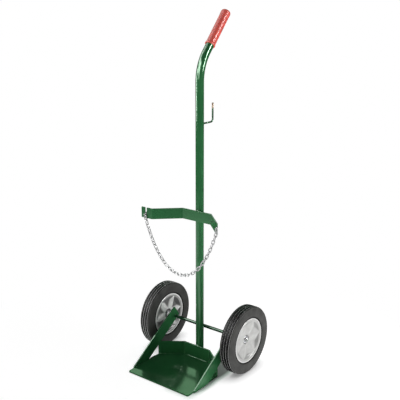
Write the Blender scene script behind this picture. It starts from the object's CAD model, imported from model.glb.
"""Looks of a single-mast gas cylinder trolley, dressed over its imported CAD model.

The sizes of pieces are in millimetres in the part's own frame, and become metres where a mesh is
made. Finishes and the studio count in metres.
"""

import logging
import math
from dataclasses import dataclass, field
from enum import Enum
from functools import cache

import bmesh
import bpy
import numpy as np
from numpy.typing import NDArray
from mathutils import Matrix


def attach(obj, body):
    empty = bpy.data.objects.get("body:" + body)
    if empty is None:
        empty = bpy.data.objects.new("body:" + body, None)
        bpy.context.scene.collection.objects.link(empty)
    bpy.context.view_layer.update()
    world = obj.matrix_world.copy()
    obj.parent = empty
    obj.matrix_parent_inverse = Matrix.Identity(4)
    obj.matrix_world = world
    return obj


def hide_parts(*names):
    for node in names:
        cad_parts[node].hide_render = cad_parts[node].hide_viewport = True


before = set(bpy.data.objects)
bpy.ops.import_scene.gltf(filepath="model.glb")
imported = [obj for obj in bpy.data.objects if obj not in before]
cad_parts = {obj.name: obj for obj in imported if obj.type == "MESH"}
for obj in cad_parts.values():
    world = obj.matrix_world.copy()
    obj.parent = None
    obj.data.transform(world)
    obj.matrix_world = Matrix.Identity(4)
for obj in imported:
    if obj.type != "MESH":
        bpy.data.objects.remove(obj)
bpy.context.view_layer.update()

Array = NDArray[np.float64]
Socket = bpy.types.NodeSocket
Colour = tuple[float, float, float]
Ramp = tuple[float, float, float, float]

MM = 0.001

# Places in millimetres that the finishes share with the sub-assemblies
AXLE_Y = 156.35
AXLE_Z = 127.0
WHEEL_MIDDLE = 189.2

# Metres up to which points are one, and degrees past which an edge is sharp
POLE_GAP = 1e-6
SHARP_ANGLE = 40.0

# Level of what stays dim in gloss, and the colours of the studio
DIM = 0.03
WHITE = (1.0, 1.0, 1.0)
PALE_GREEN = (0.7, 1.0, 0.76)

X_AXIS = np.array([1.0, 0.0, 0.0])
Y_AXIS = np.array([0.0, 1.0, 0.0])
Z_AXIS = np.array([0.0, 0.0, 1.0])

log = logging.getLogger("trolley")


class Side(Enum):
    """Side of the trolley, with the sign of its X coordinates."""

    LEFT = -1
    RIGHT = 1

    def node(self, piece: str) -> str:
        """Name of a CAD node on this side."""
        return f"{self.name.lower()}_{piece}"


class Lie(Enum):
    """Plane of a prism's outline: seen from above, from the side or from the front."""

    PLAN = (0, 1, 2)
    SIDE = (2, 0, 1)
    FRONT = (0, 2, 1)


# Surfaces


@dataclass(frozen=True)
class Surface:
    """Points and faces of one or more closed shells.

    Args:
        points: one row of X, Y, Z for each point, in millimetres.
        faces: the point numbers of each face.
    """

    points: Array
    faces: list[list[int]]


def join(*surfaces: Surface) -> Surface:
    """Puts several surfaces into one.

    Args:
        surfaces: the surfaces, in any order.

    Returns:
        One surface with the points one after the other and the face numbers shifted to match.
    """
    starts = np.cumsum([0] + [len(s.points) for s in surfaces])
    faces = [[i + start for i in face] for s, start in zip(surfaces, starts) for face in s.faces]
    return Surface(np.vstack([s.points for s in surfaces]), faces)


def unit(vectors: Array) -> Array:
    """Vectors scaled to length one."""
    return vectors / np.linalg.norm(vectors, axis=-1, keepdims=True)


def grid_surface(points: Array, wrap_rows: bool = False, caps: bool = False) -> Surface:
    """Faces of a grid of points whose columns close into rings.

    Args:
        points: rows by columns by three.
        wrap_rows: joins the last row to the first.
        caps: closes the first and the last row with a flat face.

    Returns:
        The grid as quads between neighbouring rows and columns.
    """
    rows, cols = points.shape[:2]
    index = np.arange(rows * cols).reshape(rows, cols)
    ring = np.hstack([index, index[:, :1]])
    if wrap_rows:
        ring = np.vstack([ring, ring[:1]])
    quads = np.stack([ring[:-1, :-1], ring[:-1, 1:], ring[1:, 1:], ring[1:, :-1]], axis=-1)
    faces = quads.reshape(-1, 4).tolist()
    if caps:
        faces += [index[0, ::-1].tolist(), index[-1].tolist()]
    return Surface(points.reshape(-1, 3), faces)


def round_section(radius: float, sides: int) -> Array:
    """Points of a circle, two columns."""
    angle = np.linspace(0, 2 * np.pi, sides, endpoint=False)
    return radius * np.stack([np.cos(angle), np.sin(angle)], axis=1)


def sweep(path: Array, across: Array, section: Array, scale: Array | float = 1.0,
          closed: bool = False) -> Surface:
    """Carries a section along a path that lies in one plane.

    A point is the path point plus the section's first value along the path's normal in its plane
    plus the section's second value along the normal of the plane.

    Args:
        path: points of the path.
        across: normal of the plane that holds the path.
        section: closed outline of the section, two columns.
        scale: size of the section at each path point.
        closed: joins the end of the path to its start.

    Returns:
        The swept surface, capped where the path is open.
    """
    if closed:
        tangent = np.roll(path, -1, axis=0) - np.roll(path, 1, axis=0)
    else:
        tangent = np.gradient(path, axis=0)
    up = unit(np.cross(across, tangent))
    size = np.broadcast_to(scale, len(path))[:, None, None]
    offset = section[None, :, :1] * up[:, None] + section[None, :, 1:] * np.asarray(across)
    return grid_surface(path[:, None] + size * offset, wrap_rows=closed, caps=not closed)


def revolve(profile: Array, origin: Array, axis: Array, right: Array, sides: int,
            closed: bool = True) -> Surface:
    """Turns a profile about an axis.

    A point is the origin plus the profile's first value along the axis plus its second value, the
    radius, along a direction that turns from right round the axis.

    Args:
        profile: points of the profile as axial place and radius.
        origin: point on the axis at axial place zero.
        axis: direction of the axis.
        right: direction of the first ray, square to the axis.
        sides: number of rays.
        closed: joins the end of the profile to its start.

    Returns:
        The turned surface.
    """
    angle = np.linspace(0, 2 * np.pi, sides, endpoint=False)[None, :, None]
    ray = np.cos(angle) * np.asarray(right) + np.sin(angle) * np.cross(axis, right)
    points = np.asarray(origin) + profile[:, None, :1] * np.asarray(axis) + profile[:, None, 1:] * ray
    return grid_surface(points, wrap_rows=closed)


def prism(outline: Array, low: float, high: float, lie: Lie) -> Surface:
    """Straight body between two copies of an outline.

    Args:
        outline: corners of the outline, two columns.
        low: place of the first copy along the third axis.
        high: place of the second copy along the third axis.
        lie: plane of the outline.

    Returns:
        Two flat ends and a side face for each edge of the outline.
    """
    ends = [np.column_stack([outline, np.full(len(outline), h)]) for h in (low, high)]
    return grid_surface(np.stack(ends)[..., list(lie.value)], caps=True)


def rounded_path(corners: Array, radius: Array | float, steps: int = 8, closed: bool = False) -> Array:
    """Replaces the corners of a path by arcs that touch both of their sides.

    The arc turns from the touching point before the corner to the one after it, about a centre on
    the line that halves the corner's angle.

    Args:
        corners: corners of the path.
        radius: radius of the arcs, one for all or one for each corner.
        steps: points on each arc.
        closed: rounds the first and the last corner too.

    Returns:
        Points of the rounded path.
    """
    before = unit(np.roll(corners, 1, axis=0) - corners)
    after = unit(np.roll(corners, -1, axis=0) - corners)
    half = np.arccos(np.clip((before * after).sum(axis=1), -1, 1)) / 2
    size = np.broadcast_to(radius, len(corners))
    reach = (size / np.tan(half))[:, None]
    centre = corners + unit(before + after) * (size / np.sin(half))[:, None]
    first = corners + before * reach - centre
    last = corners + after * reach - centre
    turn = (np.pi - 2 * half)[:, None, None]
    part = np.linspace(0, 1, steps)[None, :, None]
    arcs = np.sin((1 - part) * turn) * first[:, None] + np.sin(part * turn) * last[:, None]
    arcs = centre[:, None] + arcs / np.sin(turn)
    if closed:
        return arcs.reshape(-1, corners.shape[1])
    return np.vstack([corners[:1], arcs[1:-1].reshape(-1, corners.shape[1]), corners[-1:]])


def offset_path(path: Array, distance: float) -> Array:
    """Moves an open plan path to its right.

    Args:
        path: corners of the path, two columns.
        distance: distance from the old path to the new one.

    Returns:
        The moved corners, mitred where two sides meet.
    """
    step = unit(np.diff(path, axis=0))
    right = np.stack([step[:, 1], -step[:, 0]], axis=1)
    before = np.vstack([right[:1], right])
    after = np.vstack([right, right[-1:]])
    return path + distance * (before + after) / (1 + (before * after).sum(axis=1))[:, None]


def strip_outline(centre: Array, thickness: float) -> Array:
    """Closed outline of a bent strip: its middle line moved half the thickness to each side.

    Args:
        centre: points of the middle line, two columns.
        thickness: thickness of the strip.

    Returns:
        One side, and back along the other.
    """
    along = unit(np.gradient(centre, axis=0))
    normal = np.stack([along[:, 1], -along[:, 0]], axis=1) * thickness / 2
    return np.vstack([centre - normal, (centre + normal)[::-1]])


def ring_profile(inner_r: float, outer_r: float, start: float, end: float, edge: float) -> Array:
    """Section of a plain ring with rounded edges, as axial place and radius."""
    corners = np.array([[start, inner_r], [start, outer_r], [end, outer_r], [end, inner_r]])
    return rounded_path(corners, edge, steps=4, closed=True)


def weld_bead(path: Array, across: Array, radius: float, closed: bool = False, ripple: float = 0.12,
              thinning: float = 0.9, sides: int = 10) -> Surface:
    """Bead of weld with its ripples.

    The radius swells and shrinks evenly along the path, and an open bead thins out at both ends.

    Args:
        path: evenly spaced points along the seam.
        across: normal of the plane of the path.
        radius: mean radius of the bead.
        closed: for a bead that runs round.
        ripple: height of the ripples as a share of the radius. One ripple spans four points.
        thinning: share of its section that an open bead loses at the very ends.
        sides: points round the bead.

    Returns:
        The bead.
    """
    waves = 1 + ripple * np.cos(np.arange(len(path)) * np.pi / 2)
    part = np.linspace(-1, 1, len(path))
    taper = np.ones(len(path)) if closed else np.sqrt(1 - thinning * part**6)
    return sweep(path, across, round_section(radius, sides), waves * taper, closed)


# Finishes


class Bench:
    """Node tree of a material or a world under construction, with shorthands for its usual nodes.

    Args:
        owner: the material or the world.
        shader: name of its shader node.
        coordinates: name of the coordinates that its patterns read.
    """

    def __init__(self, owner: bpy.types.Material | bpy.types.World, shader: str = "Principled BSDF",
                 coordinates: str = "Object") -> None:
        """Turns the owner's nodes on and finds its shader and its coordinates."""
        owner.use_nodes = True
        self.owner = owner
        self.tree = owner.node_tree
        self.shader = self.tree.nodes[shader]
        self.place = self.node("ShaderNodeTexCoord", {}).outputs[coordinates]

    def wire(self, target: Socket, value: object) -> None:
        """Links an output to an input, or sets the input to a value.

        Args:
            target: the input.
            value: the output or the value.
        """
        if isinstance(value, Socket):
            self.tree.links.new(value, target)
        else:
            target.default_value = value

    def node(self, kind: str, inputs: dict, **settings: object) -> bpy.types.Node:
        """Adds a node.

        Args:
            kind: Blender's name of the node type.
            inputs: a value or an output for each input, by name or number.
            settings: properties of the node.

        Returns:
            The new node.
        """
        made = self.tree.nodes.new(kind)
        for key, value in settings.items():
            setattr(made, key, value)
        for key, value in inputs.items():
            self.wire(made.inputs[key], value)
        return made

    def feed(self, name: str, value: object) -> None:
        """Sets an input of the shader to a value or an output."""
        self.wire(self.shader.inputs[name], value)

    def noise(self, scale: float, detail: float = 3.0) -> Socket:
        """Cloudy pattern of a number of cells per metre."""
        inputs = {"Vector": self.place, "Scale": scale, "Detail": detail}
        return self.node("ShaderNodeTexNoise", inputs).outputs[0]

    def ranged(self, value: Socket, low: float, high: float, start: float = 0.3, end: float = 0.7) -> Socket:
        """Maps a value from start and end to low and high, and holds it between them."""
        inputs = {"Value": value, "From Min": start, "From Max": end, "To Min": low, "To Max": high}
        return self.node("ShaderNodeMapRange", inputs).outputs[0]

    def mixed(self, share: Socket, first: Socket | Colour, second: Socket | Colour) -> Socket:
        """Mixes two colours, each given as a colour or as an output."""
        ends = [end if isinstance(end, Socket) else (*end, 1.0) for end in (first, second)]
        return self.node("ShaderNodeMix", {0: share, 6: ends[0], 7: ends[1]}, data_type="RGBA").outputs[2]

    def pick(self, share: Socket, first: Socket | float, second: Socket | float) -> Socket:
        """Mixes two levels: the first where the share is zero and the second where it is one."""
        return self.node("ShaderNodeMix", {0: share, 2: first, 3: second}).outputs[0]

    def joined(self, operation: str, first: Socket | float, *others: Socket | float) -> Socket:
        """Joins values one after the other by an operation.

        Args:
            operation: Blender's name of the operation.
            first: the first value.
            others: the values that follow.

        Returns:
            The last result.
        """
        for other in others:
            first = self.node("ShaderNodeMath", {0: first, 1: other}, operation=operation).outputs[0]
        return first

    def chain(self, value: Socket, *steps: tuple[str, float]) -> Socket:
        """Runs a value through a row of operations.

        Args:
            value: the value.
            steps: Blender's name of each operation, with its second number.

        Returns:
            The last result.
        """
        for operation, number in steps:
            value = self.joined(operation, value, number)
        return value

    def coordinate(self, axis: str) -> Socket:
        """Place along one of the three axes."""
        return self.node("ShaderNodeSeparateXYZ", {0: self.place}).outputs[axis]

    def along(self, direction: Array) -> Socket:
        """Place along a direction."""
        inputs = {0: self.place, 1: direction}
        return self.node("ShaderNodeVectorMath", inputs, operation="DOT_PRODUCT").outputs["Value"]

    def off(self, axis: str, middle: float = 0.0) -> Socket:
        """Distance along an axis from a place on it."""
        return self.chain(self.coordinate(axis), ("SUBTRACT", middle), ("ABSOLUTE", 0.0))

    def from_axle(self) -> Socket:
        """Distance from the axis of the wheels.

        Returns:
            The distance square to the axle, in metres.
        """
        inputs = {0: self.place, 1: (0.0, 1.0, 1.0)}
        level = self.node("ShaderNodeVectorMath", inputs, operation="MULTIPLY").outputs[0]
        axis = (0.0, AXLE_Y * MM, AXLE_Z * MM)
        return self.node("ShaderNodeVectorMath", {0: level, 1: axis}, operation="DISTANCE").outputs["Value"]

    def bump(self, height: Socket, depth: float, strength: float) -> None:
        """Raises the surface by a height pattern of a depth in metres."""
        inputs = {"Height": height, "Distance": depth, "Strength": strength}
        self.feed("Normal", self.node("ShaderNodeBump", inputs).outputs[0])


def shaded(colour: Colour, share: float) -> Colour:
    """Colour darkened to a share of its brightness."""
    return tuple(share * part for part in colour)


@dataclass(frozen=True, kw_only=True)
class Finish:
    """Surface whose colour and gloss vary in clouds over a fine relief.

    Args:
        name: name of the material.
        slot: material slot of the record.
        dark: colour of the darker clouds.
        light: colour of the lighter clouds.
        smooth: lowest roughness.
        dull: highest roughness.
        metallic: metallic share of the surface.
        specular: strength of what a surface that isn't metal mirrors.
        clouds: cells of the colour per metre.
        cloud_detail: finer layers of the colour.
        patches: cells of the gloss per metre.
        grain: cells of the relief per metre.
        grain_detail: finer layers of the relief.
        depth: depth of the relief, in metres.
        relief: share of the relief that shows.
    """

    name: str
    slot: str
    dark: Colour
    light: Colour
    smooth: float
    dull: float
    metallic: float = 0.0
    specular: float = 0.5
    clouds: float
    cloud_detail: float = 3.0
    patches: float
    grain: float
    grain_detail: float = 2.0
    depth: float
    relief: float = 0.3

    def dressed(self, bench: Bench, colour: Socket) -> Socket:
        """The cloudy colour with what else a finish shows: nothing on a plain one."""
        return colour

    @cache
    def material(self) -> bpy.types.Material:
        """Builds the finish on its first use.

        Returns:
            The material, which all the pieces of this finish share.
        """
        bench = Bench(bpy.data.materials.new(self.name))
        bench.feed("Metallic", self.metallic)
        bench.feed("Specular IOR Level", self.specular)
        clouds = bench.ranged(bench.noise(self.clouds, self.cloud_detail), 0.0, 1.0)
        bench.feed("Base Color", self.dressed(bench, bench.mixed(clouds, self.dark, self.light)))
        bench.feed("Roughness", bench.ranged(bench.noise(self.patches), self.smooth, self.dull))
        bench.bump(bench.noise(self.grain, self.grain_detail), self.depth, self.relief)
        return bench.owner


@dataclass(frozen=True, kw_only=True)
class Enamel(Finish):
    """Glossy green enamel with a faint orange peel.

    Args:
        sheen: colour of what the coat mirrors.
        bare: colour of the metal past the painted part.
        bare_shade: share of that colour in its darker specks.
        bare_specks: cells of the specks per metre.
        bare_axis: axis along which the paint ends, or empty.
        bare_limit: place in metres where the paint ends.
        bare_metal: metallic share of the unpainted part.
    """

    name: str = "green_enamel"
    slot: str = "enamel"
    dark: Colour = (0.019, 0.108, 0.037)
    light: Colour = (0.028, 0.140, 0.049)
    smooth: float = 0.09
    dull: float = 0.14
    clouds: float = 9.0
    patches: float = 55.0
    grain: float = 420.0
    depth: float = 0.00012
    sheen: Colour = PALE_GREEN
    bare: Colour = (0.6, 0.6, 0.6)
    bare_shade: float = 0.75
    bare_specks: float = 160.0
    bare_axis: str = ""
    bare_limit: float = 0.0
    bare_metal: float = 1.0

    def dressed(self, bench: Bench, colour: Socket) -> Socket:
        """Tints what the coat mirrors, and ends the paint at the limit where one is given.

        Args:
            bench: node bench of the enamel.
            colour: colour of the paint.

        Returns:
            The paint's colour, and the bare metal's past the limit.
        """
        bench.feed("Specular Tint", (*self.sheen, 1.0))
        if not self.bare_axis:
            return colour
        past = bench.chain(bench.off(self.bare_axis), ("GREATER_THAN", self.bare_limit))
        bench.feed("Metallic", bench.ranged(past, 0.0, self.bare_metal, 0.0, 1.0))
        specks = bench.mixed(bench.noise(self.bare_specks), shaded(self.bare, self.bare_shade), self.bare)
        return bench.mixed(past, colour, specks)


@dataclass(frozen=True)
class Hollow:
    """Grime between the ridges of a pressed disc.

    Args:
        facing: 1 on an outer disc and -1 on an inner one.
        floor: distance of the sheet between the ridges from the middle of the trolley, in metres,
            at the bend of the web and at its outer end.
        crest: height of the ridges, in metres, beside the hub, at the bend and at the outer end.
        share: shares of a ridge's height below which grime is full and above which there is none.
        tone: brightness of full grime as a share of the metal's darker colour.
        ring: share of grime on the shoulder outside the web.
        radii: radii of the hub, of the bend and of the outer end of the web, in metres.
        shoulder: radii between which the grime of the shoulder ends, in metres.
    """

    facing: int
    floor: tuple[float, float]
    crest: tuple[float, float, float]
    share: tuple[float, float]
    tone: float
    ring: float
    radii: tuple[float, float, float] = (0.0127, 0.0577, 0.0722)
    shoulder: tuple[float, float] = (0.0775, 0.0795)

    def grime(self, bench: Bench) -> Socket:
        """Grime at each place: full on the sheet, none on the upper part of the ridges.

        Args:
            bench: node bench of the metal.

        Returns:
            Share of the grime.
        """
        hub, bend, end = self.radii
        radius = bench.from_axle()
        rise = bench.joined("SUBTRACT", bench.off("X"), bench.ranged(radius, *self.floor, bend, end))
        height = bench.chain(rise, ("MULTIPLY", float(self.facing)))
        crest = bench.joined("MINIMUM", bench.ranged(radius, *self.crest[:2], hub, bend),
                             bench.ranged(radius, *self.crest[1:], bend, end))
        inside = bench.ranged(bench.joined("DIVIDE", height, crest), 1.0, 0.0, *self.share)
        outside = bench.ranged(radius, self.ring, 0.0, *self.shoulder)
        return bench.pick(bench.chain(radius, ("LESS_THAN", end)), outside, inside)


@dataclass(frozen=True, kw_only=True)
class Metal(Finish):
    """Bright metal with cloudy gloss.

    Args:
        hollow: grime between the ridges.
        stain: radii round the axle, in metres, to which grease is full and where it ends.
        stain_tone: brightness of the grease as a share of the metal's darker colour.
        rim: radii round the axle, in metres, between which the polished rim begins.
        rim_colour: colour of the rim.
    """

    metallic: float = 1.0
    clouds: float = 70.0
    patches: float = 210.0
    grain: float = 900.0
    depth: float = 0.00005
    hollow: Hollow | None = None
    stain: tuple[float, float] | None = None
    stain_tone: float = 0.2
    rim: tuple[float, float] | None = None
    rim_colour: Colour = (0.72, 0.72, 0.71)

    def dressed(self, bench: Bench, colour: Socket) -> Socket:
        """Adds the grime in the hollows, the grease round the hub and the polished rim.

        Args:
            bench: node bench of the metal.
            colour: colour of the clean metal.

        Returns:
            The metal's colour with those of the three that it has.
        """
        if self.hollow:
            grime = shaded(self.dark, self.hollow.tone)
            colour = bench.mixed(self.hollow.grime(bench), colour, grime)
        if self.stain:
            grease = bench.ranged(bench.from_axle(), 1.0, 0.0, *self.stain)
            colour = bench.mixed(grease, colour, shaded(self.dark, self.stain_tone))
        if self.rim:
            polish = bench.ranged(bench.from_axle(), 0.0, 1.0, *self.rim)
            colour = bench.mixed(polish, colour, self.rim_colour)
        return colour


@dataclass(frozen=True, kw_only=True)
class Rubber(Finish):
    """Charcoal rubber of the tyres: a dusty bloom, a dark tread and pale worn edges on its ribs.

    Args:
        tread: colour of the tread and of the bead.
        worn: colour of the ribs' edges.
        middle: distance of the wheels' middle planes from the middle of the trolley, in metres.
        rib: distance from one groove to the next, in metres.
        edge: distance of a rib's edge from the middle of its groove, as a share of the rib.
        edge_half: half width of a worn edge where it is full and where it ends, as shares of the rib.
        tread_half: half of the width of the tread, in metres.
        bead: radii round the axle, in metres, to which the bead is dark and where the dark ends.
    """

    name: str = "charcoal_rubber"
    slot: str = "tyre"
    dark: Colour = (0.044, 0.044, 0.042)
    light: Colour = (0.070, 0.070, 0.067)
    smooth: float = 0.42
    dull: float = 0.56
    specular: float = 0.1
    clouds: float = 28.0
    cloud_detail: float = 5.0
    patches: float = 90.0
    grain: float = 1100.0
    grain_detail: float = 3.0
    depth: float = 0.00015
    relief: float = 0.35
    tread: Colour = (0.004, 0.004, 0.004)
    worn: Colour = (0.85, 0.85, 0.84)
    middle: float = WHEEL_MIDDLE * MM
    rib: float = 0.0105
    edge: float = 0.17
    edge_half: tuple[float, float] = (0.015, 0.05)
    tread_half: float = 0.0178
    bead: tuple[float, float] = (0.086, 0.091)

    def dressed(self, bench: Bench, colour: Socket) -> Socket:
        """Darkens the tread and the bead, and bleaches the outer edges of the ribs.

        Args:
            bench: node bench of the rubber.
            colour: colour of the bloom.

        Returns:
            The rubber's colour.
        """
        across = bench.chain(bench.off("X"), ("SUBTRACT", self.middle))
        inside = bench.chain(across, ("ABSOLUTE", 0.0), ("LESS_THAN", self.tread_half))
        seat = bench.ranged(bench.from_axle(), 1.0, 0.0, *self.bead)
        off = bench.chain(across, ("DIVIDE", self.rib), ("FRACT", 0.0), ("SUBTRACT", 0.5),
                          ("SUBTRACT", self.edge), ("ABSOLUTE", 0.0))
        plain = bench.mixed(seat, bench.mixed(inside, colour, self.tread), self.tread)
        return bench.mixed(bench.ranged(off, 1.0, 0.0, *self.edge_half), plain, self.worn)


ENAMEL = Enamel()
PLATE_ENAMEL = Enamel(name="plate_enamel", sheen=(0.3, 1.0, 0.38))
AXLE_ENAMEL = Enamel(name="axle_enamel", dark=(0.005, 0.030, 0.013), light=(0.008, 0.042, 0.018),
                     bare_axis="X", bare_limit=0.1465)
HOOK_ENAMEL = Enamel(name="hook_enamel", dark=(0.012, 0.060, 0.022), light=(0.018, 0.085, 0.031),
                     bare=(0.16, 0.09, 0.06), bare_axis="Z", bare_limit=0.953, bare_metal=0.4)
VINYL = Finish(name="red_vinyl", slot="grip", dark=(0.62, 0.062, 0.042), light=(0.80, 0.095, 0.066),
               smooth=0.34, dull=0.46, specular=0.4, clouds=40.0, patches=120.0, grain=600.0,
               depth=0.00005, relief=0.15)
ZINC = Metal(name="bright_zinc", slot="zinc", dark=(0.70, 0.71, 0.73), light=(0.90, 0.91, 0.93),
             smooth=0.14, dull=0.24, metallic=0.8)
CHAIN_ZINC = Metal(name="chain_zinc", slot="zinc", dark=(0.34, 0.34, 0.34), light=(0.52, 0.52, 0.53),
                   smooth=0.22, dull=0.34, metallic=0.25)
DISC_SILVER = Metal(
    name="disc_silver", slot="wheel_disc", dark=(0.44, 0.44, 0.43), light=(0.52, 0.52, 0.51),
    smooth=0.45, dull=0.55, metallic=0.25, grain=500.0, stain=(0.0145, 0.0185), rim=(0.0797, 0.0812),
    hollow=Hollow(1, (0.1932, 0.2082), (0.005, 0.0122, 0.0003), (0.15, 0.6), 0.7, 0.3))
HOLLOW_SILVER = Metal(
    name="hollow_silver", slot="wheel_disc", dark=(0.78, 0.78, 0.77), light=(0.90, 0.90, 0.89),
    smooth=0.30, dull=0.40, metallic=0.2, grain=500.0, rim=(0.0797, 0.0812), rim_colour=(0.9, 0.9, 0.89),
    hollow=Hollow(-1, (0.1792, 0.1702), (0.0092, 0.0092, 0.0003), (0.2, 0.55), 0.2, 0.6))
BRONZE = Metal(name="sintered_bronze", slot="bushing", dark=(0.42, 0.27, 0.13), light=(0.55, 0.37, 0.19),
               smooth=0.35, dull=0.5)
RUBBER = Rubber()


def make_mesh(name: str, surface: Surface) -> bpy.types.Mesh:
    """Makes a smooth mesh of a surface, with welded poles and faces turned outwards.

    Args:
        name: name of the mesh.
        surface: closed shells, in millimetres.

    Returns:
        The mesh, in metres.
    """
    mesh = bpy.data.meshes.new(name)
    mesh.from_pydata((surface.points * MM).tolist(), [], surface.faces)
    work = bmesh.new()
    work.from_mesh(mesh)
    bmesh.ops.remove_doubles(work, verts=work.verts, dist=POLE_GAP)
    bmesh.ops.recalc_face_normals(work, faces=work.faces)
    work.to_mesh(mesh)
    work.free()
    mesh.polygons.foreach_set("use_smooth", np.ones(len(mesh.polygons), dtype=bool))
    return mesh


def make_piece(name: str, surface: Surface, finish: Finish, body: str, *nodes: str) -> bpy.types.Object:
    """Makes a mesh object of a surface and ties it to the CAD frame.

    Args:
        name: name of the piece.
        surface: its closed shells, in millimetres.
        finish: finish of the piece.
        body: CAD body that carries the piece.
        nodes: CAD nodes that the piece stands for.

    Returns:
        The object.
    """
    mesh = make_mesh(name, surface)
    mesh.materials.append(finish.material())
    piece = bpy.data.objects.new(name, mesh)
    bpy.context.scene.collection.objects.link(piece)
    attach(piece, body)
    if nodes:
        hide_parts(*nodes)
    log.info("%s: %d faces on %s", name, len(mesh.polygons), body)
    return piece


def ease_edges(piece: bpy.types.Object, width: float) -> None:
    """Rounds the sharp edges of a piece and keeps its flats flat.

    Args:
        piece: the piece.
        width: width of the rounding, in millimetres.
    """
    bevel = piece.modifiers.new("eased_edges", "BEVEL")
    bevel.width = width * MM
    bevel.segments = 3
    bevel.limit_method = "ANGLE"
    bevel.angle_limit = math.radians(SHARP_ANGLE)
    flats = piece.modifiers.new("flat_faces", "WEIGHTED_NORMAL")
    flats.keep_sharp = False


def cut_out(piece: bpy.types.Object, cutter: Surface) -> None:
    """Takes a closed surface out of a piece and keeps the result as its mesh.

    Args:
        piece: the piece to cut.
        cutter: the space to remove, in millimetres.
    """
    tool = bpy.data.objects.new("cutter", make_mesh("cutter", cutter))
    bpy.context.scene.collection.objects.link(tool)
    cut = piece.modifiers.new("cut", "BOOLEAN")
    cut.object = tool
    cut.solver = "EXACT"
    result = bpy.data.meshes.new_from_object(piece.evaluated_get(bpy.context.evaluated_depsgraph_get()))
    piece.modifiers.remove(cut)
    piece.data = result
    bpy.data.objects.remove(tool)


# Sub-assemblies


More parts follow.
